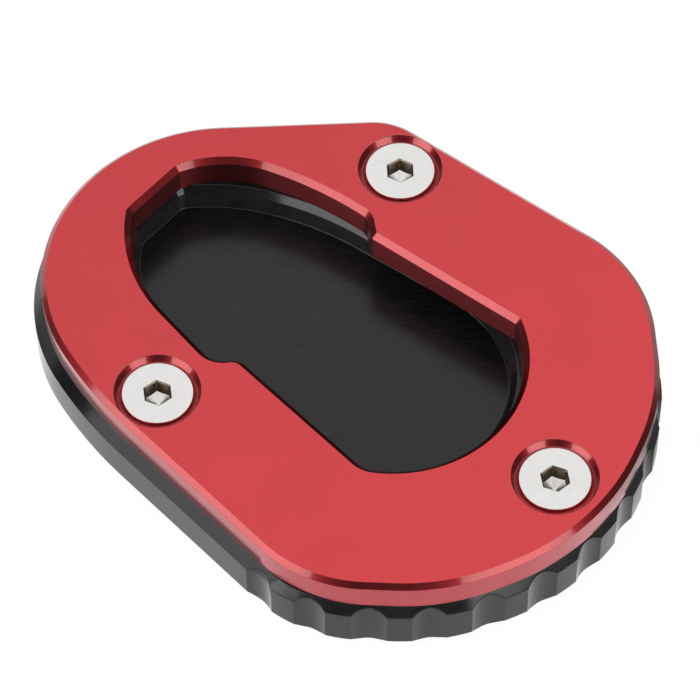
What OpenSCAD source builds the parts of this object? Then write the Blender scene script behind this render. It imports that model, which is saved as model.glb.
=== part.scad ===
// Kickstand foot enlarger for a motorcycle.
// A black base plate carries a pocket for the foot of the kickstand, a red top plate with an open
// middle clamps the foot in that pocket, and three countersunk screws hold the two together.
// Millimetres, +Z up, standing on the ground at z = 0.

/* [Plates] */
// Thickness of the base plate
base_t = 10; // [9:0.1:14]
// Thickness of the top plate
top_t = 5.9; // [5.5:0.1:9]
// Chamfer on the top plate's outer edge
top_chamfer = 0.9; // [0.4:0.05:1.5]
// Chamfer on the edge of the top plate's opening
opening_chamfer = 1; // [0.4:0.05:1.15]
// Width of the bevel on the base plate's top edge, which stands out from under the top plate
base_bevel = 1.25; // [0.8:0.05:2.5]
// Height of that bevel
base_bevel_h = 1.9; // [0.8:0.1:2.5]
// Sideways shift of the base plate's outline from the top plate's
base_shift = -0.45; // [-0.6:0.05:0.6]
// Bevel on the base plate's lower edge
ground_bevel = 1; // [0.4:0.1:2]

/* [Outline] */
// Radius of the heel, the wide end on the left
heel_r = 31.4; // [30.9:0.05:31.9]
// Heel centre, sideways
heel_x = -20.6; // [-21.1:0.05:-20.1]
// Heel centre, front to back
heel_y = 17.1; // [16.6:0.05:17.6]
// Radius of the gentle bend that takes the heel into the straight side
heel_bend_r = 79.75; // [75:0.25:85]
// Direction of the place where that bend meets the heel
heel_bend_angle = 208; // [206:0.1:209]
// Radius of the front corner, between the straight side and the toe
front_corner_r = 24.95; // [24.45:0.05:25.45]
// Direction of the straight stretch between the front corner and the toe
front_corner_angle = -95.3; // [-98.3:0.1:-92.3]
// Length of that stretch
front_corner_line = 4.85; // [2.85:0.05:6.85]
// Radius of the toe's front stretch
toe_front_r = 37.25; // [36.75:0.05:37.75]
// Direction of the straight stretch between the toe's front and side
toe_front_angle = -69.8; // [-72.8:0.1:-66.8]
// Length of that stretch
toe_front_line = 2.75; // [1.75:0.05:3.75]
// Radius of the toe's side stretch
toe_side_r = 41.2; // [40.7:0.05:41.7]
// Toe side centre, sideways
toe_side_x = 9.7; // [9.2:0.05:10.2]
// Toe side centre, front to back
toe_side_y = -4.65; // [-5.15:0.05:-4.15]
// Radius of the toe's back stretch
toe_back_r = 37.6; // [37.1:0.05:38.1]
// Direction of the straight stretch between the toe's side and back
toe_back_angle = -26.1; // [-29.1:0.1:-23.1]
// Length of that stretch
toe_back_line = 2.65; // [1.65:0.05:3.65]
// Radius of the shoulder behind the toe
shoulder_r = 26.7; // [26.2:0.05:27.2]
// Direction of the straight stretch between the toe and the shoulder
shoulder_angle = 1.1; // [-1.9:0.1:4.1]
// Length of that stretch
shoulder_line = 5.35; // [3.35:0.05:7.35]
// Radius of the corner at the back screw
back_corner_r = 11.15; // [10.65:0.05:11.65]
// Back corner centre, sideways
back_corner_x = 5.55; // [5.05:0.05:6.05]
// Back corner centre, front to back
back_corner_y = 37.3; // [36.8:0.05:37.8]

/* [Opening] */
// Radius of the opening's toe end
end_r = 22.05; // [21.5:0.05:23]
// Toe end centre, sideways
end_x = 7.05; // [6.5:0.05:8]
// Toe end centre, front to back
end_y = -1.75; // [-2.2:0.05:-1.3]
// Direction that the near lip faces away from the opening
near_lip_angle = 221.4; // [220:0.1:223]
// Distance of the near lip's edge from the origin
near_lip_reach = 14.35; // [13.5:0.05:15.2]
// Radius where the near lip runs into the toe end
near_lip_fillet = 4.95; // [3:0.05:6.5]
// Radius of the near lip's nose
near_nose_r = 2.95; // [2.5:0.05:3.6]
// Place of the nose along the near lip
near_nose_place = -10.65; // [-11.5:0.05:-9.8]
// Radius of the hollow beside the nose
near_hollow_r = 4.45; // [3.5:0.05:5]
// Direction of the hollow from the nose
near_hollow_angle = 98.7; // [96:0.1:101]
// Direction that the far lip faces away from the opening
far_lip_angle = 51.2; // [50:0.1:52.5]
// Distance of the far lip's edge from the origin
far_lip_reach = 21.25; // [20.5:0.05:21.8]
// Radius where the far lip runs into the toe end
far_lip_fillet = 1; // [0.6:0.05:2]
// Radius of the far lip's nose
far_nose_r = 1.3; // [1.3:0.05:2.4]
// Direction that the step beside the far lip faces
step_angle = 7.2; // [5:0.1:9]
// Distance of the step's wall from the origin
step_reach = 7.6; // [7:0.05:8.2]
// Radius of the hollow above the step
step_hollow_r = 3.75; // [3:0.05:4.5]
// Radius of the gentle bend beside the far side of the heel
bend_r = 64.5; // [60:0.5:70]
// Direction of the place where the gentle bend meets the heel's back arc
bend_angle = 64.75; // [63:0.05:66.5]
// Radius of the heel's back arc
heel_back_r = 20.25; // [19.8:0.05:20.8]
// Heel back centre, sideways
heel_back_x = -20.9; // [-21.3:0.05:-20.5]
// Heel back centre, front to back
heel_back_y = 20.25; // [19.9:0.05:20.6]
// Direction that the slanted heel wall faces
slant_angle = 135.9; // [134:0.1:138]
// Distance of the slanted heel wall from the origin
slant_reach = 47.35; // [46.7:0.05:47.8]
// Radius of the two corners beside the slanted wall
slant_fillet = 1.2; // [0.8:0.05:2]
// Radius of the heel's side arc
heel_side_r = 27.1; // [26.6:0.05:27.6]
// Heel side centre, sideways
heel_side_x = -9.55; // [-10:0.05:-9.2]
// Heel side centre, front to back
heel_side_y = 26.1; // [25.6:0.05:26.6]

/* [Foot pocket] */
// Depth of the pocket below the base plate's top face
pocket_depth = 5.1; // [3:0.1:6]
// Chamfer on the pocket's edge
pocket_chamfer = 1.1; // [0.4:0.05:1.5]
// Radius of the pocket's toe end, which runs under both lips
pocket_end_r = 21.4; // [20.9:0.05:21.9]
// Pocket end centre, sideways
pocket_end_x = 5.75; // [5.25:0.05:6.25]
// Pocket end centre, front to back
pocket_end_y = -0.8; // [-1.3:0.05:-0.3]
// Radius of the bend in the pocket's far wall
pocket_bend_r = 50; // [47:0.5:54]
// Direction of the place where that bend meets the pocket's back arc
pocket_bend_angle = 73; // [71:0.5:75]
// Radius of the pocket's back arc
pocket_back_r = 34.6; // [34.1:0.05:35.1]
// Pocket back centre, sideways
pocket_back_x = -24.75; // [-25.25:0.05:-24.25]
// Pocket back centre, front to back
pocket_back_y = 4.3; // [3.8:0.05:4.8]
// Distance of the pocket's slanted wall from the origin
pocket_slant_reach = 47.05; // [46.5:0.05:47.5]
// Radius of the pocket's corners beside the slanted wall
pocket_fillet = 2.5; // [1:0.05:3]
// Distance of the pocket's side wall inside the opening's
pocket_side_inset = 1; // [0.3:0.1:2]

/* [Grip] */
// Radius of the cutter that mills the scallops
scallop_r = 5.4; // [4:0.1:8]
// Depth of a scallop in the bevelled wall
scallop_depth = 0.9; // [0.4:0.05:1.2]
// Distance from one scallop to the next, along the wall
scallop_pitch = 10; // [9:0.1:13]
// Distance from the start of the front corner to the middle of the first scallop
scallop_start = 1.2; // [0:0.1:6]
// Number of scallops
scallop_count = 13; // [4:1:15]

/* [Screws] */
// Heel screw, sideways
heel_screw_x = -32.45; // [-33.5:0.05:-31.5]
// Heel screw, front to back
heel_screw_y = -6.6; // [-7.5:0.05:-5.5]
// Back screw, sideways
back_screw_x = 10.3; // [9.3:0.05:11.3]
// Back screw, front to back
back_screw_y = 37.5; // [36.5:0.05:38.5]
// Toe screw, sideways
toe_screw_x = 32.55; // [31.5:0.05:33.5]
// Toe screw, front to back
toe_screw_y = -26.5; // [-27.5:0.05:-25.5]
// Turn of the heel screw's socket
heel_socket_turn = 35; // [0:1:59]
// Turn of the back screw's socket
back_socket_turn = 30; // [0:1:59]
// Turn of the toe screw's socket
toe_socket_turn = 37; // [0:1:59]
// Thread diameter
thread_d = 6; // [5:0.5:6]
// Diameter of the flat head
head_d = 12; // [11:0.1:12.4]
// Depth of the head's face below the top plate
head_sink = 0.65; // [0.2:0.05:1]
// Height of the head's straight rim above its cone
head_rim = 0.65; // [0.2:0.05:1]
// Break on the head's upper edge
head_edge = 0.2; // [0.1:0.05:0.4]
// Length of the screw with its head
screw_l = 12; // [10:0.5:13]
// Hex socket, across the flats
socket_af = 4; // [3:0.5:5]
// Depth of the hex socket
socket_depth = 2.6; // [1.5:0.1:3]
// Clearance all round the screw in the top plate
hole_gap = 0.2; // [0.1:0.05:0.4]
// Clearance all round the screw in the tapped hole
thread_gap = 0.05; // [0.02:0.01:0.1]
// Free depth of the tapped hole below the screw's tip
hole_spare = 1; // [0.3:0.1:1.2]

/* [Hidden] */
$fn = 128;
// How far a cutter runs past the face that it opens
over = 0.1;
// Turn of an arc from one of its points to the next, at most
arc_step = 4;
// Straight stretches shorter than this are left out of an outline
least_line = 0.01;
total_t = base_t + top_t;

// An outline is a ring of arcs, counter-clockwise, each [x, y, radius]. Neighbours are joined by
// their common tangent. An arc with a radius below zero bends the other way.
heel = [heel_x, heel_y, heel_r];
toe_side = [toe_side_x, toe_side_y, toe_side_r];
toe_front = arc_before(toe_side, toe_front_angle, toe_front_line, toe_front_r);
toe_back = arc_after(toe_side, toe_back_angle, toe_back_line, toe_back_r);
outer_arcs = [
    arc_before(toe_front, front_corner_angle, front_corner_line, front_corner_r),
    toe_front,
    toe_side,
    toe_back,
    arc_after(toe_back, shoulder_angle, shoulder_line, shoulder_r),
    [back_corner_x, back_corner_y, back_corner_r],
    heel,
    rolled_on(heel, heel_bend_angle, heel_bend_r)
];
base_arcs = [for (a = outer_arcs) [a.x + base_shift, a.y, a.z + base_bevel]];

// The arcs that the opening and the pocket share, at the opening's wall
end_arc = [end_x, end_y, end_r];
heel_back = [heel_back_x, heel_back_y, heel_back_r];
heel_side = [heel_side_x, heel_side_y, heel_side_r];
bend = rolled_on(heel_back, bend_angle, bend_r);
near_nose = with_radius(
    (near_lip_reach + near_nose_r) * unit(near_lip_angle) + near_nose_place * unit(near_lip_angle + 90),
    -near_nose_r);
near_hollow = with_radius(
    middle(near_nose) + (near_nose_r + near_hollow_r) * unit(near_hollow_angle), near_hollow_r);
opening_arcs = [
    end_arc,
    corner_on_arc(far_lip_angle, far_lip_reach, end_arc, far_lip_fillet, -1),
    corner(step_angle, step_reach, far_lip_angle, far_lip_reach, -far_nose_r),
    corner_on_arc(step_angle, step_reach, bend, step_hollow_r, 1),
    bend,
    heel_back,
    corner_on_arc(slant_angle, slant_reach, heel_back, slant_fillet, -1),
    corner_on_arc(slant_angle, slant_reach, heel_side, slant_fillet, 1),
    heel_side,
    near_hollow,
    near_nose,
    corner_on_arc(near_lip_angle, near_lip_reach, end_arc, near_lip_fillet, 1)
];

// The pocket lies inside the opening round the heel and runs straight on under both lips
pocket_back = [pocket_back_x, pocket_back_y, pocket_back_r];
pocket_side = grown([heel_side], -pocket_side_inset)[0];
pocket_arcs = [
    [pocket_end_x, pocket_end_y, pocket_end_r],
    rolled_on(pocket_back, pocket_bend_angle, pocket_bend_r),
    pocket_back,
    corner_on_arc(slant_angle, pocket_slant_reach, pocket_back, pocket_fillet, -1),
    corner_on_arc(slant_angle, pocket_slant_reach, pocket_side, pocket_fillet, 1),
    pocket_side
];

// Each screw's place and the turn of its socket
screw_places = [
    [heel_screw_x, heel_screw_y, heel_socket_turn],
    [back_screw_x, back_screw_y, back_socket_turn],
    [toe_screw_x, toe_screw_y, toe_socket_turn]
];
thread_r = thread_d / 2;
head_r = head_d / 2;
cone_h = head_r - thread_r;
sink_r = head_r + head_sink + head_rim;
hole_r = thread_r + hole_gap;
tap_r = thread_r + thread_gap;
tap_bottom = total_t - head_sink - screw_l - hole_spare;

// Middle of the base plate, so that the part stands centred on the origin
base_edge = outline_points(base_arcs, 0);
mid_x = (max([for (p = base_edge) p.x]) + min([for (p = base_edge) p.x])) / 2;
mid_y = (max([for (p = base_edge) p.y]) + min([for (p = base_edge) p.y])) / 2;

function unit(angle) = [cos(angle), sin(angle)];
function middle(arc) = [arc.x, arc.y];
function with_radius(place, r) = [place.x, place.y, r];
function grown(arcs, d) = [for (a = arcs) [a.x, a.y, a.z + d]];
function ring(arcs, i) = arcs[(i + len(arcs)) % len(arcs)];
function wrap(angle) = angle - 360 * floor(angle / 360);
function on_arc(arc, angle) = middle(arc) + arc.z * unit(angle);

// Arc of radius r that follows or comes before another arc, with a straight stretch between the two
function arc_after(arc, angle, line, r) =
    with_radius(middle(arc) + (arc.z - r) * unit(angle) + line * unit(angle + 90), r);
function arc_before(arc, angle, line, r) =
    with_radius(middle(arc) + (arc.z - r) * unit(angle) - line * unit(angle + 90), r);

// Arc of radius r that touches another arc at the place facing an angle
function rolled_on(arc, angle, r) = with_radius(middle(arc) + (arc.z - r) * unit(angle), r);

// Arc of radius r in the corner of two lines, each given by the angle that it faces and its distance
// from the origin
function corner(angle_1, reach_1, angle_2, reach_2, r) =
    let (
        n1 = unit(angle_1),
        n2 = unit(angle_2),
        det = n1.x * n2.y - n1.y * n2.x,
        d1 = reach_1 - r,
        d2 = reach_2 - r
    )
    [(d1 * n2.y - d2 * n1.y) / det, (d2 * n1.x - d1 * n2.x) / det, r];

// Arc of radius r between a line and the inside of a larger arc, at the line's start (-1) or end (1)
function corner_on_arc(angle, reach, arc, r, side) =
    let (
        rise = reach - r - middle(arc) * unit(angle),
        run = sqrt((arc.z - r) * (arc.z - r) - rise * rise)
    )
    with_radius(middle(arc) + rise * unit(angle) + side * run * unit(angle + 90), r);

// Angle that the outline faces where it leaves arc a for arc b
function facing(a, b) =
    let (step = middle(b) - middle(a), ratio = (a.z - b.z) / norm(step))
    atan2(step.y, step.x) - acos(max(-1, min(1, ratio)));
function facing_in(arcs, i) = facing(ring(arcs, i - 1), ring(arcs, i));
function facing_out(arcs, i) = facing(ring(arcs, i), ring(arcs, i + 1));

// Angle that the outline turns through on arc i
function turned(arcs, i) =
    let (turn = wrap(facing_out(arcs, i) - facing_in(arcs, i)))
    ring(arcs, i).z > 0 ? turn : turn - 360;
function arc_start(arcs, i) = on_arc(ring(arcs, i), facing_in(arcs, i));
function arc_end(arcs, i) = on_arc(ring(arcs, i), facing_out(arcs, i));
function arc_length(arcs, i) = ring(arcs, i).z * turned(arcs, i) * PI / 180;
function line_length(arcs, i) = norm(arc_start(arcs, i + 1) - arc_end(arcs, i));

// Place and facing angle, [x, y, angle], at a distance along the outline from the start of arc i
function along_outline(arcs, distance, i = 0) =
    let (
        arc = ring(arcs, i),
        on_line = distance - arc_length(arcs, i),
        angle = on_line < 0
            ? facing_in(arcs, i) + distance / arc.z * 180 / PI
            : facing_out(arcs, i),
        place = on_line < 0
            ? on_arc(arc, angle)
            : arc_end(arcs, i) + on_line * unit(angle + 90)
    )
    on_line > line_length(arcs, i)
        ? along_outline(arcs, on_line - line_length(arcs, i), i + 1)
        : [place.x, place.y, angle];

// Points round an outline grown by d
function outline_points(arcs, d) = [
    for (i = [0 : len(arcs) - 1])
        let (
            arc = arcs[i],
            turn = turned(arcs, i),
            steps = max(1, ceil(abs(turn) / arc_step)),
            first = line_length(arcs, i - 1) > least_line ? 0 : 1
        )
        for (k = [first : steps])
            middle(arc) + (arc.z + d) * unit(facing_in(arcs, i) + turn * k / steps)
];

// Solid through an outline at rising levels, each [how far the outline is grown, height]
module stack(arcs, levels) {
    rings = [for (level = levels) [for (p = outline_points(arcs, level.x)) [p.x, p.y, level.y]]];
    n = len(rings[0]);
    top = (len(levels) - 1) * n;
    polyhedron(
        points = [for (r = rings) each r],
        faces = [
            [for (k = [0 : n - 1]) k],
            [for (k = [n - 1 : -1 : 0]) top + k],
            for (low = [0 : n : top - n])
                for (k = [0 : n - 1])
                    let (next = (k + 1) % n)
                    [low + k, low + n + k, low + n + next, low + next]
        ]
    );
}

// Cutter from height z1 to a face at height z2, where it opens into a 45 degree chamfer c wide
module chamfered_cutter(arcs, z1, z2, c) {
    stack(arcs, [[0, z1], [0, z2 - c], [c + over, z2 + over]]);
}

module scallops() {
    for (k = [0 : scallop_count - 1]) {
        spot = along_outline(base_arcs, scallop_start + k * scallop_pitch);
        translate([spot.x, spot.y, -over]) rotate(spot.z)
            translate([scallop_r - scallop_depth, 0, 0])
                cylinder(r = scallop_r, h = base_t + 2 * over);
    }
}

module foot_pocket() {
    chamfered_cutter(pocket_arcs, base_t - pocket_depth, base_t, pocket_chamfer);
}

module at_screws() {
    for (place = screw_places)
        translate([place.x, place.y, 0]) rotate(place.z) children();
}

module tapped_hole() {
    translate([0, 0, tap_bottom]) cylinder(r = tap_r, h = base_t - tap_bottom + over);
}

module countersunk_hole() {
    translate([0, 0, base_t - over]) cylinder(r = hole_r, h = top_t + 2 * over);
    translate([0, 0, total_t - sink_r])
        cylinder(r1 = 0, r2 = sink_r + over, h = sink_r + over);
}

module base_plate() {
    color([0.13, 0.13, 0.14]) translate([-mid_x, -mid_y, 0]) difference() {
        stack(base_arcs, [
            [-ground_bevel, 0],
            [0, ground_bevel],
            [0, base_t - base_bevel_h],
            [-base_bevel, base_t]
        ]);
        scallops();
        foot_pocket();
        at_screws() tapped_hole();
    }
}

module top_plate() {
    color([0.78, 0.16, 0.18]) translate([-mid_x, -mid_y, 0]) difference() {
        stack(outer_arcs, [[0, base_t], [0, total_t - top_chamfer], [-top_chamfer, total_t]]);
        chamfered_cutter(opening_arcs, base_t - over, total_t, opening_chamfer);
        at_screws() countersunk_hole();
    }
}

// One screw, with the face of its head at z = 0
module screw() {
    socket_r = socket_af / 2;
    socket_corner_r = socket_r / cos(30);
    difference() {
        rotate_extrude() polygon([
            [0, -screw_l],
            [thread_r - head_edge, -screw_l],
            [thread_r, head_edge - screw_l],
            [thread_r, -head_rim - cone_h],
            [head_r, -head_rim],
            [head_r, -head_edge],
            [head_r - head_edge, 0],
            [0, 0]
        ]);
        translate([0, 0, -socket_depth]) cylinder(r = socket_corner_r, h = socket_depth + over, $fn = 6);
        translate([0, 0, -socket_depth - socket_r / 2])
            cylinder(r1 = 0, r2 = socket_r, h = socket_r / 2);
        translate([0, 0, -head_edge])
            cylinder(r1 = socket_corner_r - head_edge / 2, r2 = socket_corner_r + head_edge, h = 1.5 * head_edge);
    }
}

module screws() {
    color([0.82, 0.81, 0.79]) translate([-mid_x, -mid_y, total_t - head_sink])
        at_screws() screw();
}

base_plate();
top_plate();
screws();
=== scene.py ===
import math

import bmesh
import bpy
from mathutils import Matrix, Vector
from mathutils.geometry import intersect_point_line, tessellate_polygon


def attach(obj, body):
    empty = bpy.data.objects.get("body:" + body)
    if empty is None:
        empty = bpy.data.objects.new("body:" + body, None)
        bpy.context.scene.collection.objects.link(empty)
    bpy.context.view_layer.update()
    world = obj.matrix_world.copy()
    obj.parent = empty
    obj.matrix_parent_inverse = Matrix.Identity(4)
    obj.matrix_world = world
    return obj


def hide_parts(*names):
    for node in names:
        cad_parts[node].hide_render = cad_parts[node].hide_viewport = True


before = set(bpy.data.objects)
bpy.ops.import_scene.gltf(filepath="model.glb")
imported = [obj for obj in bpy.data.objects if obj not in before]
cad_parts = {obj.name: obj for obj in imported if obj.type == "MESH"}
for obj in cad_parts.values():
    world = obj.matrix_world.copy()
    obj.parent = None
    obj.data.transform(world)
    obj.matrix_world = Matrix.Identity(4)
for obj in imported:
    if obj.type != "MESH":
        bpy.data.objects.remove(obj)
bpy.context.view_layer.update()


# Base plate. A thick aluminium plate, black anodised, that stands on the ground. A machine milled its
# outline as a run of arcs, cut the pocket for the kickstand's foot into its top, bevelled its edges
# and milled thirteen upright scallops round the toe for grip. Sizes are in millimetres.
BASE_T = 10.0
BASE_BEVEL = 1.25
BASE_BEVEL_H = 2.05
BASE_SHIFT = -0.45
GROUND_BEVEL = 0.68
BREAK = 0.12
SCALLOP_R = 5.4
SCALLOP_DEPTH = 0.9
SCALLOP_PITCH = 10.0
SCALLOP_START = 1.2
SCALLOP_COUNT = 13
CREASE_REACH = 0.06
CREASE_ROUND = 0.015
PLAIN_STEPS = 420
BEVEL_STEPS = 16
BEVEL_CROWDING = 1.6
LEAN_FROM, LEAN_OVER = -0.53, 0.2
POCKET_DEPTH = 5.1
POCKET_CHAMFER = 1.1
POCKET_FLOOR_R = 0.18
TAP_R = 3.05
TAP_BOTTOM = 2.25
TAP_CHAMFER = 0.15
TAP_SIDES = 64
BLACK = (0.009, 0.009, 0.0093)
# Lighter black for the pocket's walls: painted light that brightens them
POCKET_WALL_BLACK_PAINTED_LIGHT = (0.028, 0.026, 0.026)
BLACK_IOR, BLACK_CUT_IOR = 1.41, 1.7
HEEL_BEVEL_SHARE = 0.15
FLOOR_TILT = (0, 0.052, 0)
STEEP, LEVEL = 0.4, 0.93
HEEL_NORMAL_X = -0.55
WALL_REACH = 1.3
NO_CUT = 9.0
HALVINGS = 22
MERGE = 0.002
# Place of each screw and the turn of its socket in degrees
SCREW_PLACES = ((-32.44, -6.61, 35), (10.33, 37.48, 30), (32.59, -26.52, 37))
# Facing angles of the straight runs that pocket and opening share
NEAR_LIP, FAR_LIP, STEP, SLANT = 221.4, 51.2, 7.2, 135.9


def unit(angle):
    """Unit vector in plan at an angle in degrees."""
    return Vector((math.cos(math.radians(angle)), math.sin(math.radians(angle))))


def arc(place, r):
    return (place[0], place[1], r)


def middle(a):
    return Vector((a[0], a[1]))


def arc_after(a, angle, line, r):
    """Arc that follows another after a straight line, which leaves the first at a facing angle."""
    return arc(middle(a) + (a[2] - r) * unit(angle) + line * unit(angle + 90), r)


def arc_before(a, angle, line, r):
    """Arc that comes before another, with a straight line between them."""
    return arc(middle(a) + (a[2] - r) * unit(angle) - line * unit(angle + 90), r)


def rolled_on(a, angle, r):
    """Arc that touches another at a facing angle."""
    return arc(middle(a) + (a[2] - r) * unit(angle), r)


def corner(angle_1, reach_1, angle_2, reach_2, r):
    """Arc that rounds the corner of two lines, each with its facing angle and distance from the origin."""
    n1, n2 = unit(angle_1), unit(angle_2)
    det = n1.x * n2.y - n1.y * n2.x
    d1, d2 = reach_1 - r, reach_2 - r
    return arc(((d1 * n2.y - d2 * n1.y) / det, (d2 * n1.x - d1 * n2.x) / det), r)


def corner_on_arc(angle, reach, a, r, side):
    """Arc that rounds the corner of a line and an arc, on one side of the line's middle."""
    rise = reach - r - middle(a).dot(unit(angle))
    run = math.sqrt((a[2] - r) ** 2 - rise ** 2)
    return arc(middle(a) + rise * unit(angle) + side * run * unit(angle + 90), r)


def facing(a, b):
    """Facing angle of the common tangent of two arcs, in degrees."""
    step = middle(b) - middle(a)
    ratio = max(-1.0, min(1.0, (a[2] - b[2]) / step.length))
    return math.degrees(math.atan2(step.y, step.x) - math.acos(ratio))


def turned(arcs, i):
    """Angle that an arc of the ring turns through, below zero where it is hollow."""
    turn = (facing(arcs[i], arcs[(i + 1) % len(arcs)]) - facing(arcs[i - 1], arcs[i])) % 360
    return turn if arcs[i][2] > 0 else turn - 360


def trace(arcs, step=1.5):
    """Stations [x, y, facing angle] round a ring of arcs that are joined by their common tangents."""
    stations = []
    for i, a in enumerate(arcs):
        start, turn = facing(arcs[i - 1], a), turned(arcs, i)
        steps = max(3, math.ceil(abs(turn) / step))
        for k in range(steps + 1):
            angle = start + turn * k / steps
            spot = middle(a) + a[2] * unit(angle)
            if stations and (spot - Vector(stations[-1][:2])).length < 0.01:
                continue
            stations.append((spot.x, spot.y, angle))
    return stations


heel = (-20.6, 17.1, 31.4)
toe_side = (9.7, -4.65, 41.2)
toe_front = arc_before(toe_side, -69.8, 2.75, 37.25)
toe_back = arc_after(toe_side, -26.1, 2.65, 37.6)
outer_arcs = [
    arc_before(toe_front, -95.3, 4.85, 24.95),
    toe_front,
    toe_side,
    toe_back,
    arc_after(toe_back, 1.1, 5.35, 26.7),
    (5.55, 37.3, 11.15),
    heel,
    rolled_on(heel, 208, 79.75),
]
base_arcs = [(a[0] + BASE_SHIFT, a[1], a[2] + BASE_BEVEL) for a in outer_arcs]
# Middle of the base plate's outline, which is the origin of the frame
MID = Vector((-0.6037, 0.9797))


def along(arcs, distance):
    """Station at a distance along the ring from the start of its first arc."""
    i = 0
    while True:
        a, after = arcs[i % len(arcs)], arcs[(i + 1) % len(arcs)]
        start, turn = facing(arcs[(i - 1) % len(arcs)], a), turned(arcs, i % len(arcs))
        bow = a[2] * math.radians(turn)
        if distance < bow:
            angle = start + math.degrees(distance / a[2])
            spot = middle(a) + a[2] * unit(angle)
            return spot.x, spot.y, angle
        angle = start + turn
        line = (middle(after) + after[2] * unit(angle) - middle(a) - a[2] * unit(angle)).length
        if distance < bow + line:
            spot = middle(a) + a[2] * unit(angle) + (distance - bow) * unit(angle + 90)
            return spot.x, spot.y, angle
        distance -= bow + line
        i += 1


def eased(points, r, steps=3):
    """Profile [offset, height] with each inner corner rounded to radius r."""
    out = [Vector(points[0])]
    for before, here, after in zip(points, points[1:], points[2:]):
        here = Vector(here)
        a, b = (Vector(before) - here), (Vector(after) - here)
        half = a.angle(b) / 2
        reach = min(r / math.tan(half), 0.45 * a.length, 0.45 * b.length)
        a, b = a.normalized() * reach, b.normalized() * reach
        for k in range(steps + 1):
            t = k / steps
            out.append(here + a * (1 - t) ** 2 + b * t ** 2)
    out.append(Vector(points[-1]))
    return out


def ring_of(stations, d, z):
    """Points at height z, moved out from their stations by d."""
    return [Vector((x + d * math.cos(math.radians(f)), y + d * math.sin(math.radians(f)), z))
            for x, y, f in stations]


class Shell:
    """Gathers rings of points into one closed mesh, in millimetres."""

    def __init__(self):
        self.points, self.faces = [], []

    def ring(self, points):
        first = len(self.points)
        self.points += points
        return list(range(first, first + len(points)))

    def skin(self, rings, flip=False):
        for low, high in zip(rings, rings[1:]):
            for k in range(len(low)):
                j = (k + 1) % len(low)
                quad = [low[k], low[j], high[j], high[k]]
                self.faces.append(quad[::-1] if flip else quad)

    def lid(self, loops, up):
        """Flat face between an outer loop and the loops of its holes."""
        clean = []
        for loop in loops:
            kept = []
            for i in loop:
                if not kept or (self.points[i] - self.points[kept[-1]]).length > MERGE:
                    kept.append(i)
            if (self.points[kept[0]] - self.points[kept[-1]]).length < MERGE:
                kept.pop()
            clean.append(kept)
        flat = [i for loop in clean for i in loop]
        for tri in tessellate_polygon([[self.points[i] for i in loop] for loop in clean]):
            a, b, c = (self.points[flat[t]] for t in tri)
            face = [flat[t] for t in tri]
            z = (b - a).cross(c - a).z
            if abs(z) > 1e-9:
                self.faces.append(face if (z > 0) == up else face[::-1])

    def mesh(self, name):
        data = bpy.data.meshes.new(name)
        shift = Vector((MID.x, MID.y, 0))
        data.from_pydata([(p - shift) * 0.001 for p in self.points], [], self.faces)
        bm = bmesh.new()
        bm.from_mesh(data)
        bmesh.ops.remove_doubles(bm, verts=bm.verts, dist=1.5e-6)
        bmesh.ops.dissolve_degenerate(bm, edges=bm.edges, dist=1e-7)
        bm.to_mesh(data)
        bm.free()
        return data


def placed(name, data):
    """New object in the scene, at the origin."""
    thing = bpy.data.objects.new(name, data)
    bpy.context.scene.collection.objects.link(thing)
    return thing


def baked(thing, name):
    """Mesh of an object with its modifiers applied."""
    bpy.context.view_layer.update()
    data = bpy.data.meshes.new_from_object(thing.evaluated_get(bpy.context.evaluated_depsgraph_get()))
    data.name = name
    return data


def stand(name, data, material):
    """Finished piece, smooth, with the normals of its broad faces kept flat."""
    piece = placed(name, data)
    data.materials.append(material)
    data.polygons.foreach_set("use_smooth", [True] * len(data.polygons))
    flat = piece.modifiers.new("flat_faces", "WEIGHTED_NORMAL")
    flat.weight = 100
    flat.keep_sharp = True
    return piece


def mark(data, name, rule):
    """Face attribute for the material, by a rule on each face's normal and middle in millimetres."""
    layer = data.attributes.new(name, "FLOAT", "FACE")
    shift = Vector((MID.x, MID.y, 0))
    layer.data.foreach_set("value", [rule(f.normal, f.center * 1000 + shift) for f in data.polygons])


def node_of(tree, kind, **inputs):
    """New node with its input values set by name."""
    node = tree.nodes.new(kind)
    for name, value in inputs.items():
        node.inputs[name.replace("_", " ")].default_value = value
    return node


def from_to(tree, factor, low, high, source_low=0.0, source_high=1.0):
    """Number that runs from low to high while a factor runs over its source range."""
    node = node_of(tree, "ShaderNodeMapRange",
                   From_Min=source_low, From_Max=source_high, To_Min=low, To_Max=high)
    tree.links.new(factor, node.inputs["Value"])
    return node.outputs["Result"]


def arithmetic(tree, operation, first, second):
    """Sum, product or the like of two numbers, each a value or a socket."""
    node = tree.nodes.new("ShaderNodeMath")
    node.operation = operation
    for value, slot in ((first, node.inputs[0]), (second, node.inputs[1])):
        if isinstance(value, (int, float)):
            slot.default_value = value
        else:
            tree.links.new(value, slot)
    return node.outputs["Value"]


def blend(tree, factor, first, second, mode="MIX"):
    """Colour between two, each a colour or a socket, by a factor that is a value or a socket."""
    node = tree.nodes.new("ShaderNodeMix")
    node.data_type = "RGBA"
    node.blend_type = mode
    factor_slot, first_slot, second_slot = node.inputs[0], node.inputs[6], node.inputs[7]
    if isinstance(factor, (int, float)):
        factor_slot.default_value = factor
    else:
        tree.links.new(factor, factor_slot)
    for value, slot in ((first, first_slot), (second, second_slot)):
        if isinstance(value, tuple):
            slot.default_value = (*value, 1)
        else:
            tree.links.new(value, slot)
    return node.outputs[2]


def painted(tree, name):
    """Socket of a face attribute."""
    node = tree.nodes.new("ShaderNodeAttribute")
    node.attribute_name = name
    return node.outputs["Fac"]


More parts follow.
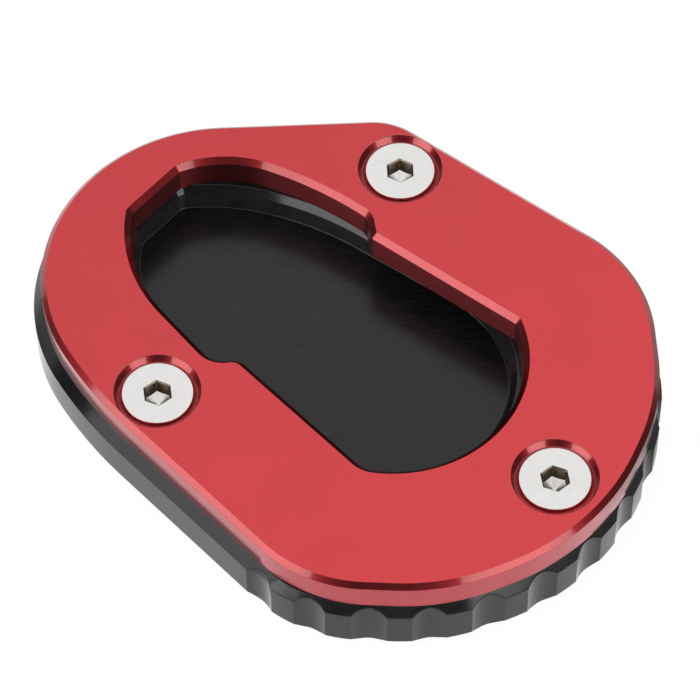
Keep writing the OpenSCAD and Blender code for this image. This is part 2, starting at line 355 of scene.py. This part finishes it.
def noise(tree, scale, detail=2.0, stretch=None):
    """Socket of noise on the object's own coordinates, in cells per metre, stretched along an axis."""
    spot = tree.nodes.new("ShaderNodeTexCoord")
    grain = node_of(tree, "ShaderNodeTexNoise", Scale=scale, Detail=detail)
    source = spot.outputs["Object"]
    if stretch:
        turned_spot = tree.nodes.new("ShaderNodeMapping")
        turned_spot.inputs["Rotation"].default_value = (0, 0, math.radians(stretch[0]))
        turned_spot.inputs["Scale"].default_value = (1, stretch[1], 1)
        tree.links.new(source, turned_spot.inputs["Vector"])
        source = turned_spot.outputs["Vector"]
    tree.links.new(source, grain.inputs["Vector"])
    return grain.outputs["Fac"]


def grained(tree, shader, height, strength, normal=None):
    """Fine bump on the shader's normal, or on a normal given."""
    bump = node_of(tree, "ShaderNodeBump", Strength=strength, Distance=0.00002)
    tree.links.new(height, bump.inputs["Height"])
    if normal:
        tree.links.new(normal, bump.inputs["Normal"])
    tree.links.new(bump.outputs["Normal"], shader.inputs["Normal"])


def tilted(tree, share, tilt):
    """Normal of the surface, tilted by a vector where a share is set."""
    face = tree.nodes.new("ShaderNodeNewGeometry")
    lean = tree.nodes.new("ShaderNodeVectorMath")
    lean.operation = "SCALE"
    lean.inputs[0].default_value = tilt
    tree.links.new(share, lean.inputs["Scale"])
    total = tree.nodes.new("ShaderNodeVectorMath")
    tree.links.new(face.outputs["Normal"], total.inputs[0])
    tree.links.new(lean.outputs["Vector"], total.inputs[1])
    even = tree.nodes.new("ShaderNodeVectorMath")
    even.operation = "NORMALIZE"
    tree.links.new(total.outputs["Vector"], even.inputs[0])
    return even.outputs["Vector"]


scallop_spots = [along(base_arcs, SCALLOP_START + k * SCALLOP_PITCH) for k in range(SCALLOP_COUNT)]
scallop_axes = [Vector((x, y)) + (SCALLOP_R - SCALLOP_DEPTH) * unit(f) for x, y, f in scallop_spots]


def cut_depth(station, axis):
    """How far the scallop's cutter lies inside the outline, along the outline's normal."""
    x, y, f = station
    out = Vector((x, y)) - axis
    lean = out.dot(unit(f))
    inner = lean ** 2 - out.length_squared + SCALLOP_R ** 2
    return NO_CUT if inner < 0 or out.length > 2 * SCALLOP_R else -lean - math.sqrt(inner)


def half_mouth(k, d, side):
    """Distance along the outline from a scallop's middle to its corner, at offset d."""
    if d <= -SCALLOP_DEPTH:
        return 0.0
    low, high = 0.0, SCALLOP_PITCH / 2
    for _ in range(HALVINGS):
        s = (low + high) / 2
        spot = along(base_arcs, (SCALLOP_START + k * SCALLOP_PITCH + side * s) % ring_length)
        if cut_depth(spot, scallop_axes[k]) < d:
            low = s
        else:
            high = s
    return low


ring_length = 0.0
for i, a in enumerate(base_arcs):
    after = base_arcs[(i + 1) % len(base_arcs)]
    angle = facing(a, after)
    ring_length += a[2] * math.radians(turned(base_arcs, i))
    ring_length += (middle(after) + after[2] * unit(angle) - middle(a) - a[2] * unit(angle)).length

# Stations across a scallop and along the ridge to the next one, as shares, close together at the corners
BOWL = [-1, -0.985, -0.965, -0.93] + [-0.88 + 0.08 * k for k in range(23)] + [0.93, 0.965, 0.985, 1]
RIDGE = [0.015, 0.04, 0.08] + [0.14 + 0.09 * k for k in range(9)] + [0.92, 0.96, 0.985]


def scalloped_ring(d, z, lean):
    """Ring of the base plate's outline at offset d, with its scallops, leaning in on the heel side."""
    marks = []
    mouths = [(half_mouth(k, d, -1), half_mouth(k, d, 1)) for k in range(SCALLOP_COUNT)]
    for k in range(SCALLOP_COUNT):
        here = SCALLOP_START + k * SCALLOP_PITCH
        marks += [(here + u * mouths[k][1 if u > 0 else 0], k) for u in BOWL]
        start = here + mouths[k][1]
        if k + 1 < SCALLOP_COUNT:
            end = here + SCALLOP_PITCH - mouths[k + 1][0]
            marks += [(start + (end - start) * u, k) for u in RIDGE]
        else:
            end = SCALLOP_START + ring_length - mouths[0][0]
            marks += [(start + (end - start) * u, k) for u in (0.0004, 0.001)]
            marks += [(start + (end - start) * j / PLAIN_STEPS, k) for j in range(1, PLAIN_STEPS)]
            marks += [(start + (end - start) * u, k) for u in (0.999, 0.9996)]
    points = []
    for s, k in marks:
        x, y, f = along(base_arcs, s % ring_length)
        axes = (scallop_axes[k], scallop_axes[(k + 1) % SCALLOP_COUNT])
        deep = min(cut_depth((x, y, f), axis) for axis in axes)
        crease = max(CREASE_REACH - abs(d - deep), 0) / CREASE_REACH
        reach = min(d, deep) - crease ** 2 * CREASE_ROUND
        out_x, out_y = math.cos(math.radians(f)), math.sin(math.radians(f))
        x += lean * min(1.0, max(0.0, (LEAN_FROM - out_x) / LEAN_OVER))
        points.append(Vector((x + reach * out_x, y + reach * out_y, z)))
    return points


top_edge = BASE_T - BASE_BEVEL_H
edge = eased([(-GROUND_BEVEL - 0.6, 0), (-GROUND_BEVEL, 0), (0, GROUND_BEVEL), (0, top_edge),
              (-BASE_BEVEL, BASE_T), (-BASE_BEVEL - 0.5, BASE_T)], BREAK)
levels = []
for a, b in zip(edge, edge[1:]):
    levels.append(a)
    if abs(b.x - a.x) > 0.4 and abs(b.y - a.y) > 0.4:
        for k in range(1, BEVEL_STEPS):
            up, down = k / BEVEL_STEPS, 1 - k / BEVEL_STEPS
            levels.append(a.lerp(b, 1 - down ** BEVEL_CROWDING if b.x < a.x else up ** BEVEL_CROWDING))
levels.append(edge[-1])

pocket_back = (-24.75, 4.3, 34.6)
pocket_side = (-9.55, 26.1, 26.1)
pocket_arcs = [
    (5.75, -0.8, 21.4),
    rolled_on(pocket_back, 73, 55),
    pocket_back,
    corner_on_arc(SLANT, 47.05, pocket_back, 2.5, -1),
    corner_on_arc(SLANT, 47.05, pocket_side, 2.5, 1),
    pocket_side,
]
pocket_floor = BASE_T - POCKET_DEPTH
bowl = eased([(POCKET_CHAMFER + 0.3, BASE_T), (POCKET_CHAMFER, BASE_T), (0, BASE_T - POCKET_CHAMFER),
              (0, pocket_floor + POCKET_FLOOR_R)], BREAK)
bowl = bowl[:-1] + [
    Vector((-POCKET_FLOOR_R + POCKET_FLOOR_R * math.cos(math.radians(a)),
            pocket_floor + POCKET_FLOOR_R - POCKET_FLOOR_R * math.sin(math.radians(a))))
    for a in (0, 22.5, 45, 67.5, 90)
] + [Vector((-POCKET_FLOOR_R - 0.4, pocket_floor))]

base = Shell()
outer_rings = []
for p in levels:
    risen = max(0.0, p.y - top_edge) / BASE_BEVEL_H
    outer_rings.append(base.ring(scalloped_ring(p.x, p.y, -BASE_SHIFT * risen)))
base.skin(outer_rings)
pocket_stops = trace(pocket_arcs)
pocket_rings = [base.ring(ring_of(pocket_stops, p.x, p.y)) for p in bowl]
base.skin(pocket_rings)
tap_rings = []
for x, y, _ in SCREW_PLACES:
    turns = [k * math.tau / TAP_SIDES for k in range(TAP_SIDES)]
    circle = [(x + TAP_R * math.cos(t), y + TAP_R * math.sin(t), math.degrees(t)) for t in turns]
    stack = ((TAP_CHAMFER, BASE_T), (0, BASE_T - TAP_CHAMFER), (0, TAP_BOTTOM))
    rings = [base.ring(ring_of(circle, d, z)) for d, z in stack]
    base.skin(rings)
    base.lid([rings[-1]], True)
    tap_rings.append(rings[0])
base.lid([outer_rings[0]], False)
base.lid([outer_rings[-1], pocket_rings[0]] + tap_rings, True)
base.lid([pocket_rings[-1]], True)


def finish_of(name, metallic, ior):
    """New material, with its node tree and the shader that the rest of its nodes feed."""
    material = bpy.data.materials.new(name)
    material.use_nodes = True
    shader = material.node_tree.nodes["Principled BSDF"]
    shader.inputs["Metallic"].default_value = metallic
    shader.inputs["IOR"].default_value = ior
    return material, material.node_tree, shader


def sloped(normal):
    """Whether a face is a chamfer, a bevel or a countersink."""
    return STEEP < normal.z < LEVEL


def near(stops, spot):
    """Whether a place lies on the wall that stands on a ring of stations."""
    for a, b in zip(stops, stops[1:] + stops[:1]):
        foot, share = intersect_point_line(spot.xy, Vector(a[:2]), Vector(b[:2]))
        if -0.1 < share < 1.1 and (foot.xy - spot.xy).length < WALL_REACH:
            return True
    return False


def milled_upright(tree, shader, share):
    """Reflection drawn out up and down by the marks of the mill that run along a wall."""
    upward = node_of(tree, "ShaderNodeCombineXYZ", Z=1.0)
    tree.links.new(upward.outputs["Vector"], shader.inputs["Tangent"])
    tree.links.new(from_to(tree, share, 0.0, 0.9), shader.inputs["Anisotropic"])


black, tree, shader = finish_of("black_anodised", 0.0, BLACK_IOR)
walls, cut = painted(tree, "pocket_wall"), painted(tree, "cut")
cloud = noise(tree, 120, 4.0)
brushed = noise(tree, 260, 3.0, (38, 9.0))
# The pocket's walls get the lighter black, painted light
black_and_painted_light = blend(tree, walls, BLACK, POCKET_WALL_BLACK_PAINTED_LIGHT)
tree.links.new(from_to(tree, cut, BLACK_IOR, BLACK_CUT_IOR), shader.inputs["IOR"])
worn = from_to(tree, brushed, 0.75, 1.35, 0.35, 0.65)
tree.links.new(blend(tree, 1.0, black_and_painted_light, worn, "MULTIPLY"), shader.inputs["Base Color"])
pocket_share = painted(tree, "pocket_floor")
sheen = from_to(tree, cloud, 0.11, 0.15, 0.3, 0.7)
sheen = arithmetic(tree, "ADD", sheen, from_to(tree, pocket_share, 0.0, 0.08))
sheen = arithmetic(tree, "ADD", sheen, from_to(tree, walls, 0.0, 0.28))
tree.links.new(sheen, shader.inputs["Roughness"])
milled_upright(tree, shader, walls)
grained(tree, shader, noise(tree, 2600), 0.06, tilted(tree, pocket_share, FLOOR_TILT))

base_mesh = base.mesh("base_plate_piece")
mark(base_mesh, "pocket_wall", lambda normal, spot: float(
    abs(normal.z) < 0.5 and near(pocket_stops, spot)))
mark(base_mesh, "cut", lambda normal, spot: (
    0.0 if not sloped(normal)
    else HEEL_BEVEL_SHARE if normal.x < HEEL_NORMAL_X and not near(pocket_stops, spot)
    else 1.0))
mark(base_mesh, "pocket_floor", lambda normal, spot: float(
    normal.z > 0.99 and abs(spot.z - pocket_floor) < 0.1))
base_plate = stand("base_plate_piece", base_mesh, black)
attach(base_plate, "root")
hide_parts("base_plate")


# Top plate. A thinner aluminium plate, red anodised, that lies on the base plate and clamps the foot
# under its two lips. Its outer edge and the edge of its opening are chamfered, and a countersink at
# each screw takes the flat head.
TOP_T = 5.9
TOTAL_T = BASE_T + TOP_T
TOP_CHAMFER = 0.9
OPENING_CHAMFER = 1.0
NEAR_REACH, FAR_REACH, STEP_REACH = 14.35, 21.25, 7.6
NOSE_R, HOLLOW_R = 2.95, 4.45
SINK_R = 7.3
HOLE_R = 3.2
SINK_SIDES = 144
SINK_BREAK = ((0.16, 0.06), (0.1, 0.001), (0.04, -0.02), (-0.04, -0.07), (-0.12, -0.12))
FOOT_BREAK, RIM_BREAK, MOUTH_BREAK = 0.04, 0.12, 0.08
FLAT_RED = (0.60, 0.035, 0.042)
CUT_RED = (0.51, 0.032, 0.038)
# Upright walls take a darker red than the flat faces: painted shade
WALL_RED_PAINTED_SHADE = (0.46, 0.028, 0.042)
# The opening's inner walls take a darker red still: painted shade in the recess
INNER_WALL_RED_PAINTED_SHADE = (0.27, 0.038, 0.043)
BACK_CUT_SHARE = 0.15
BACK_NORMAL_Y = 0.2
# Direction in plan along which painted light brightens the flat red
PAINTED_LIGHT_ALONG = (6, -8, 0)

end_arc = (7.05, -1.75, 22.05)
heel_back = (-20.9, 20.25, 20.25)
heel_side = (-9.55, 26.1, 27.1)
bend = rolled_on(heel_back, 64.75, 69.5)
near_nose = arc((NEAR_REACH + NOSE_R) * unit(NEAR_LIP) - 10.65 * unit(NEAR_LIP + 90), -NOSE_R)
near_hollow = arc(middle(near_nose) + (NOSE_R + HOLLOW_R) * unit(98.7), HOLLOW_R)
opening_arcs = [
    end_arc,
    corner_on_arc(FAR_LIP, FAR_REACH, end_arc, 1.0, -1),
    corner(STEP, STEP_REACH, FAR_LIP, FAR_REACH, -1.3),
    corner_on_arc(STEP, STEP_REACH, bend, 3.75, 1),
    bend,
    heel_back,
    corner_on_arc(SLANT, 47.35, heel_back, 1.2, -1),
    corner_on_arc(SLANT, 47.35, heel_side, 1.2, 1),
    heel_side,
    near_hollow,
    near_nose,
    corner_on_arc(NEAR_LIP, NEAR_REACH, end_arc, 4.95, 1),
]
rim = eased([(-0.5, BASE_T), (0, BASE_T), (0, BASE_T + 1)], FOOT_BREAK)[:-1]
rim += eased([(0, BASE_T + 1), (0, TOTAL_T - TOP_CHAMFER), (-TOP_CHAMFER, TOTAL_T),
              (-TOP_CHAMFER - 0.05, TOTAL_T)], RIM_BREAK)[1:]
mouth = eased([(OPENING_CHAMFER + 0.05, TOTAL_T), (OPENING_CHAMFER, TOTAL_T),
               (0, TOTAL_T - OPENING_CHAMFER), (0, BASE_T), (0.4, BASE_T)], MOUTH_BREAK)
top = Shell()
outer_stops, mouth_stops = trace(outer_arcs, 1.0), trace(opening_arcs, 1.5)
rim_rings = [top.ring(ring_of(outer_stops, p.x, p.y)) for p in rim]
mouth_rings = [top.ring(ring_of(mouth_stops, p.x, p.y)) for p in mouth]
top.skin(rim_rings)
top.skin(mouth_rings)
top.lid([rim_rings[-1], mouth_rings[0]], True)
top.lid([rim_rings[0], mouth_rings[-1]], False)

cutters = Shell()
flare = [(SINK_R + grow, TOTAL_T + rise) for grow, rise in SINK_BREAK]
flare += [(HOLE_R, TOTAL_T - SINK_R + HOLE_R), (HOLE_R, BASE_T - 0.5)]
for x, y, _ in SCREW_PLACES:
    circle = [(x, y, k * 360 / SINK_SIDES) for k in range(SINK_SIDES)]
    rings = [cutters.ring(ring_of(circle, r, z)) for r, z in flare]
    cutters.skin(rings, flip=True)
    cutters.lid([rings[0]], True)
    cutters.lid([rings[-1]], False)
cutter_piece = placed("countersink_cutters", cutters.mesh("countersink_cutters"))
blank = placed("top_plate_blank", top.mesh("top_plate_blank"))
sink = blank.modifiers.new("countersinks", "BOOLEAN")
sink.operation = "DIFFERENCE"
sink.solver = "EXACT"
sink.object = cutter_piece
cut_mesh = baked(blank, "top_plate_piece")
bpy.data.objects.remove(blank)
bpy.data.objects.remove(cutter_piece)

red, tree, shader = finish_of("red_anodised", 1.0, 1.5)
cut, wall, inner = painted(tree, "cut"), painted(tree, "wall"), painted(tree, "inner_wall")
spot = tree.nodes.new("ShaderNodeTexCoord")
across = tree.nodes.new("ShaderNodeVectorMath")
across.operation = "DOT_PRODUCT"
across.inputs[1].default_value = PAINTED_LIGHT_ALONG
tree.links.new(spot.outputs["Object"], across.inputs[0])
# Painted light on the flat red: lighter towards the toe's front, darker towards the back left
painted_light_falloff = from_to(tree, across.outputs["Value"], 0.895, 1.055, -0.6, 0.5)
mottle = from_to(tree, noise(tree, 70, 3.0), 0.97, 1.03, 0.3, 0.7)
flat_dye_and_light = blend(tree, 1.0, FLAT_RED, arithmetic(tree, "MULTIPLY", painted_light_falloff, mottle), "MULTIPLY")
streaks = from_to(tree, noise(tree, 900, 2.0, (20, 5.0)), 0.93, 1.07, 0.3, 0.7)
cut_dye = blend(tree, 1.0, CUT_RED, streaks, "MULTIPLY")
# Walls get darker reds, painted shade, deepest on the opening's inner walls
wall_dye_and_shade = blend(tree, 1.0, blend(tree, inner, WALL_RED_PAINTED_SHADE, INNER_WALL_RED_PAINTED_SHADE), streaks, "MULTIPLY")
top_dye_and_light = blend(tree, cut, flat_dye_and_light, cut_dye)
tree.links.new(blend(tree, wall, top_dye_and_light, wall_dye_and_shade), shader.inputs["Base Color"])
sheen = from_to(tree, noise(tree, 150, 4.0), 0.24, 0.28, 0.3, 0.7)
sheen = arithmetic(tree, "ADD", sheen, from_to(tree, cut, 0.0, 0.07))
sheen = arithmetic(tree, "ADD", sheen, from_to(tree, wall, 0.0, -0.1))
sheen = arithmetic(tree, "ADD", sheen, from_to(tree, inner, 0.0, 0.3))
tree.links.new(sheen, shader.inputs["Roughness"])
tree.links.new(from_to(tree, wall, 1.0, 0.7), shader.inputs["Coat Weight"])
layer = arithmetic(tree, "ADD", from_to(tree, cut, 1.42, 1.75), from_to(tree, wall, 0.0, -0.05))
tree.links.new(layer, shader.inputs["Coat IOR"])
tree.links.new(from_to(tree, cut, 0.14, 0.09), shader.inputs["Coat Roughness"])
milled_upright(tree, shader, inner)
grained(tree, shader, noise(tree, 3000), 0.05)

mark(cut_mesh, "cut", lambda normal, spot: (
    0.0 if not sloped(normal)
    else BACK_CUT_SHARE if normal.y > BACK_NORMAL_Y
    else 1.0))
mark(cut_mesh, "wall", lambda normal, spot: float(abs(normal.z) <= STEEP))
mark(cut_mesh, "inner_wall", lambda normal, spot: float(
    abs(normal.z) <= STEEP and near(mouth_stops, spot)))
top_plate = stand("top_plate_piece", cut_mesh, red)
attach(top_plate, "root")
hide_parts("top_plate")


# Screws. Three alike M6 countersunk screws of stainless steel with 4 mm hex sockets, turned in until
# their heads lie just below the top plate's face. The head is faced on a lathe, and the socket is
# punched over a drilled hole that leaves its cone at the bottom.
HEAD_R = 6.0
HEAD_SINK = 0.65
HEAD_RIM = 0.65
THREAD_R = 3.0
SCREW_L = 12.0
HEAD_BREAK = 0.14
SOCKET_AF = 4.0
SOCKET_DEPTH = 3.1
SOCKET_BREAK = ((0.28, 0), (0.25, -0.03), (0.06, -0.24), (0, -0.34), (0, -SOCKET_DEPTH))
SOCKET_SPANS = 6
SOCKET_STEEP, SOCKET_REACH = 0.84, 2.7
DRILL_SLOPE = 0.53
THREAD_PITCH = 1.0
THREAD_CREST, THREAD_ROOT = THREAD_R - 0.02, THREAD_R - 0.5
GROOVE_H = 0.9
SIDES = 96
STEEL = (0.76, 0.75, 0.735)
# Darker, browner steel for the socket's walls: painted shade inside the socket
SOCKET_WALL_PAINTED_SHADE = (0.30, 0.245, 0.19)

one_screw = bmesh.new()
cone_end = -HEAD_RIM - (HEAD_R - THREAD_R)
body = eased([(HEAD_R - 0.6, 0), (HEAD_R, 0), (HEAD_R, -HEAD_RIM), (THREAD_R - 0.05, cone_end)],
             HEAD_BREAK)
z = cone_end - 0.3
while z > -SCREW_L + GROOVE_H:
    for r, drop in ((THREAD_CREST, 0), (THREAD_ROOT, GROOVE_H / 2), (THREAD_CREST, GROOVE_H)):
        body.append(Vector((r, z - drop)))
    z -= THREAD_PITCH
body += [Vector((THREAD_R - 0.6, -SCREW_L + 0.1)), Vector((THREAD_R - 0.8, -SCREW_L))]
round_screw = [(math.cos(k * math.tau / SIDES), math.sin(k * math.tau / SIDES)) for k in range(SIDES)]
turns = [[one_screw.verts.new((p.x * c, p.x * s, p.y)) for c, s in round_screw] for p in body]
for high, low in zip(turns, turns[1:]):
    for k in range(SIDES):
        j = (k + 1) % SIDES
        one_screw.faces.new((high[j], high[k], low[k], low[j]))
one_screw.faces.new(turns[-1][::-1])


def hexagon(half_flat, z, soft=0.1):
    """Hexagon with softened corners and a few points along each side."""
    tips = [unit(60 * k) * half_flat / math.cos(math.radians(30)) for k in range(6)]
    points = []
    for k in range(6):
        here, after = tips[k], tips[(k + 1) % 6]
        points.append(here * (1 - 0.3 * soft / here.length))
        reach = soft / (after - here).length
        for j in range(SOCKET_SPANS + 1):
            points.append(here.lerp(after, reach + (1 - 2 * reach) * j / SOCKET_SPANS))
    return [one_screw.verts.new((p.x, p.y, z)) for p in points]


half = SOCKET_AF / 2
hexes = [hexagon(half + grow, depth) for grow, depth in SOCKET_BREAK]
socket_foot = hexes[-1]
for vert in socket_foot:
    vert.co.z += (vert.co.xy.length - half) * DRILL_SLOPE
for share in (0.75, 0.5, 0.25):
    smaller = []
    for vert in socket_foot:
        drop = vert.co.xy.length * (1 - share) * DRILL_SLOPE
        smaller.append(one_screw.verts.new((vert.co.x * share, vert.co.y * share, vert.co.z - drop)))
    hexes.append(smaller)
for high, low in zip(hexes, hexes[1:]):
    for k in range(len(high)):
        j = (k + 1) % len(high)
        one_screw.faces.new((high[k], high[j], low[j], low[k]))
tip = one_screw.verts.new((0, 0, -SOCKET_DEPTH - half * DRILL_SLOPE))
for k in range(len(hexes[-1])):
    one_screw.faces.new((hexes[-1][k], hexes[-1][(k + 1) % len(hexes[-1])], tip))
loops = [[v.co for v in turns[0]], [v.co for v in hexes[0]]]
flat = turns[0] + hexes[0]
for tri in tessellate_polygon(loops):
    corners = [flat[t] for t in tri]
    a, b, c = (v.co for v in corners)
    if (b - a).cross(c - a).z < 0:
        corners.reverse()
    one_screw.faces.new(corners)
bmesh.ops.scale(one_screw, vec=(0.001, 0.001, 0.001), verts=one_screw.verts)
screw_mesh = bpy.data.meshes.new("one_screw")
one_screw.to_mesh(screw_mesh)
one_screw.free()
screw_model = placed("one_screw", screw_mesh)

steel, tree, shader = finish_of("stainless", 1.0, 1.5)
side = painted(tree, "side")
lathe = from_to(tree, noise(tree, 400, 3.0), 0.97, 1.02, 0.3, 0.7)
bright = blend(tree, 1.0, STEEL, lathe, "MULTIPLY")
# The socket's walls get the darker steel, painted shade
tree.links.new(blend(tree, side, bright, SOCKET_WALL_PAINTED_SHADE), shader.inputs["Base Color"])
sheen = from_to(tree, noise(tree, 900), 0.2, 0.28, 0.3, 0.7)
sheen = arithmetic(tree, "ADD", sheen, from_to(tree, side, 0.0, 0.12))
tree.links.new(sheen, shader.inputs["Roughness"])
grained(tree, shader, noise(tree, 2500), 0.05)

places = bpy.data.meshes.new("screw_places")
places.from_pydata([((x - MID.x) * 0.001, (y - MID.y) * 0.001, 0) for x, y, _ in SCREW_PLACES], [], [])
turn_of = places.attributes.new("socket_turn", "FLOAT", "POINT")
turn_of.data.foreach_set("value", [math.radians(t) for _, _, t in SCREW_PLACES])
screws = placed("screws_piece", places)

tree = bpy.data.node_groups.new("screws_on_places", "GeometryNodeTree")
tree.interface.new_socket("Places", in_out="INPUT", socket_type="NodeSocketGeometry")
height_in = tree.interface.new_socket("Head height", in_out="INPUT", socket_type="NodeSocketFloat")
tree.interface.new_socket("Screws", in_out="OUTPUT", socket_type="NodeSocketGeometry")
start = tree.nodes.new("NodeGroupInput")
done = tree.nodes.new("NodeGroupOutput")
lift = tree.nodes.new("GeometryNodeSetPosition")
offset = tree.nodes.new("ShaderNodeCombineXYZ")
model = tree.nodes.new("GeometryNodeObjectInfo")
model.inputs["Object"].default_value = screw_model
turn = tree.nodes.new("GeometryNodeInputNamedAttribute")
turn.data_type = "FLOAT"
turn.inputs["Name"].default_value = "socket_turn"
spin = tree.nodes.new("ShaderNodeCombineXYZ")
spread = tree.nodes.new("GeometryNodeInstanceOnPoints")
real = tree.nodes.new("GeometryNodeRealizeInstances")
paint = tree.nodes.new("GeometryNodeSetMaterial")
paint.inputs["Material"].default_value = steel
wire = tree.links.new
wire(start.outputs["Head height"], offset.inputs["Z"])
wire(start.outputs["Places"], lift.inputs["Geometry"])
wire(offset.outputs["Vector"], lift.inputs["Offset"])
wire(lift.outputs["Geometry"], spread.inputs["Points"])
wire(model.outputs["Geometry"], spread.inputs["Instance"])
wire(turn.outputs["Attribute"], spin.inputs["Z"])
wire(spin.outputs["Vector"], spread.inputs["Rotation"])
wire(spread.outputs["Instances"], real.inputs["Geometry"])
wire(real.outputs["Geometry"], paint.inputs["Geometry"])
wire(paint.outputs["Geometry"], done.inputs["Screws"])
copies = screws.modifiers.new("screws", "NODES")
copies.node_group = tree
copies[height_in.identifier] = (TOTAL_T - HEAD_SINK) * 0.001
screws_mesh = baked(screws, "screws_piece")
bpy.data.objects.remove(screws)
bpy.data.objects.remove(screw_model)
screws_mesh.materials.clear()
head_spots = [Vector((x, y)) for x, y, _ in SCREW_PLACES]
mark(screws_mesh, "side", lambda normal, spot: float(
    abs(normal.z) < SOCKET_STEEP and min((spot.xy - head).length for head in head_spots) < SOCKET_REACH))
screws = stand("screws_piece", screws_mesh, steel)
for edge in screws.data.edges:
    edge.use_edge_sharp = False
screws.data.set_sharp_from_angle(angle=math.radians(35))
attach(screws, "root")
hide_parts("screws")


# Stage. The part lies on a plain white floor under a broad soft light from above and behind, with two
# softboxes in front, one to each side, and the camera looks down at it between them.
FLOOR_SEEN = 1.09
FLOOR_CAMERA_SHARE = 0.85
# How bright the part mirrors the floor, a row for each stretch of x or y in metres over which the level
# runs from one value to another: dimmer to the left, the right and behind, brighter at the heel side
FLOOR_MIRRORED = (
    ("MINIMUM", "X", 0.2, 1.0, -0.105, -0.078),
    ("MINIMUM", "X", 1.0, 0.2, 0.048, 0.056),
    ("MAXIMUM", "Y", 0.2, 1.0, 0.035, 0.075),
    ("MINIMUM", "Y", 1.0, 0.6, 0.055, 0.075),
    ("MULTIPLY", "X", 1.3, 1.0, -0.057, -0.052),
)
floor_mesh = bpy.data.meshes.new("floor")
floor_mesh.from_pydata([(-3, -3, 0), (3, -3, 0), (3, 3, 0), (-3, 3, 0)], [], [(0, 1, 2, 3)])
floor = placed("floor", floor_mesh)
paper = bpy.data.materials.new("white_floor")
paper.use_nodes = True
tree = paper.node_tree
nodes, links = tree.nodes, tree.links
nodes["Principled BSDF"].inputs["Base Color"].default_value = (0.9, 0.9, 0.9, 1)
nodes["Principled BSDF"].inputs["Roughness"].default_value = 0.8
glow = nodes.new("ShaderNodeEmission")
ray = nodes.new("ShaderNodeLightPath")
where = nodes.new("ShaderNodeNewGeometry")
split = nodes.new("ShaderNodeSeparateXYZ")
links.new(where.outputs["Position"], split.inputs["Vector"])
mirrored = 1.0
for operation, axis, before, after, start, end in FLOOR_MIRRORED:
    level = from_to(tree, split.outputs[axis], before, after, start, end)
    mirrored = arithmetic(tree, operation, mirrored, level)
seen = from_to(tree, ray.outputs["Is Camera Ray"], 0.0, FLOOR_SEEN)
links.new(arithmetic(tree, "MAXIMUM", mirrored, seen), glow.inputs["Strength"])
share = arithmetic(tree, "MULTIPLY", ray.outputs["Is Camera Ray"], FLOOR_CAMERA_SHARE)
mix = nodes.new("ShaderNodeMixShader")
links.new(arithmetic(tree, "MAXIMUM", share, ray.outputs["Is Glossy Ray"]), mix.inputs["Fac"])
links.new(nodes["Principled BSDF"].outputs["BSDF"], mix.inputs[1])
links.new(glow.outputs["Emission"], mix.inputs[2])
links.new(mix.outputs["Shader"], nodes["Material Output"].inputs["Surface"])
floor_mesh.materials.append(paper)

AIM = Vector((-MID.x, -MID.y, TOTAL_T)) * 0.001
TURN, TILT, ROLL, AWAY = math.radians(-1.9), math.radians(56.24), math.radians(-0.69), 0.635
back = Vector((math.sin(TURN) * math.cos(TILT), -math.cos(TURN) * math.cos(TILT), math.sin(TILT)))
right = Vector((math.cos(TURN), math.sin(TURN), 0))
upward = back.cross(right)
rolled_right = math.cos(ROLL) * right + math.sin(ROLL) * upward
rolled_up = math.cos(ROLL) * upward - math.sin(ROLL) * right
camera = placed("camera", bpy.data.cameras.new("camera"))
camera.data.sensor_width = 36
camera.data.lens = 194.55
camera.data.clip_start = 0.01
camera.matrix_world = Matrix((
    (rolled_right.x, rolled_up.x, back.x, AIM.x + back.x * AWAY),
    (rolled_right.y, rolled_up.y, back.y, AIM.y + back.y * AWAY),
    (rolled_right.z, rolled_up.z, back.z, AIM.z + back.z * AWAY),
    (0, 0, 0, 1),
))
bpy.context.scene.camera = camera


def softbox(name, azimuth, elevation, away, width, height, level):
    """Area light that faces the part, level being the brightness that a mirror shows."""
    lamp = placed(name, bpy.data.lights.new(name, "AREA"))
    lamp.data.shape = "RECTANGLE"
    lamp.data.size, lamp.data.size_y = width, height
    lamp.data.energy = level * math.pi * width * height
    a, e = math.radians(azimuth), math.radians(elevation)
    out = Vector((math.cos(a) * math.cos(e), math.sin(a) * math.cos(e), math.sin(e)))
    lamp.location = out * away
    lamp.rotation_mode = "QUATERNION"
    lamp.rotation_quaternion = out.to_track_quat("Z", "Y")


softbox("left_box", -152.7, 19, 1.2, 0.95, 1.0, 1.75)
softbox("right_box", -48.6, 19, 1.2, 0.765, 1.0, 1.75)
softbox("overhead_box", 92, 75, 1.2, 2.2, 2.3, 0.98)

world = bpy.context.scene.world or bpy.data.worlds.new("studio")
bpy.context.scene.world = world
world.use_nodes = True
nodes, links = world.node_tree.nodes, world.node_tree.links
for node in list(nodes):
    nodes.remove(node)
out = nodes.new("ShaderNodeOutputWorld")
dim = nodes.new("ShaderNodeBackground")
dim.inputs["Color"].default_value = (1, 1, 1, 1)
white = nodes.new("ShaderNodeBackground")
white.inputs["Color"].default_value = (1, 1, 1, 1)
ray = nodes.new("ShaderNodeLightPath")
# The world lights the part a little, and shows the camera plain white
links.new(from_to(world.node_tree, ray.outputs["Is Glossy Ray"], 0.14, 0.06), dim.inputs["Strength"])
mix = nodes.new("ShaderNodeMixShader")
links.new(ray.outputs["Is Camera Ray"], mix.inputs["Fac"])
links.new(dim.outputs["Background"], mix.inputs[1])
links.new(white.outputs["Background"], mix.inputs[2])
links.new(mix.outputs["Shader"], out.inputs["Surface"])
bpy.context.scene.view_settings.view_transform = "Standard"
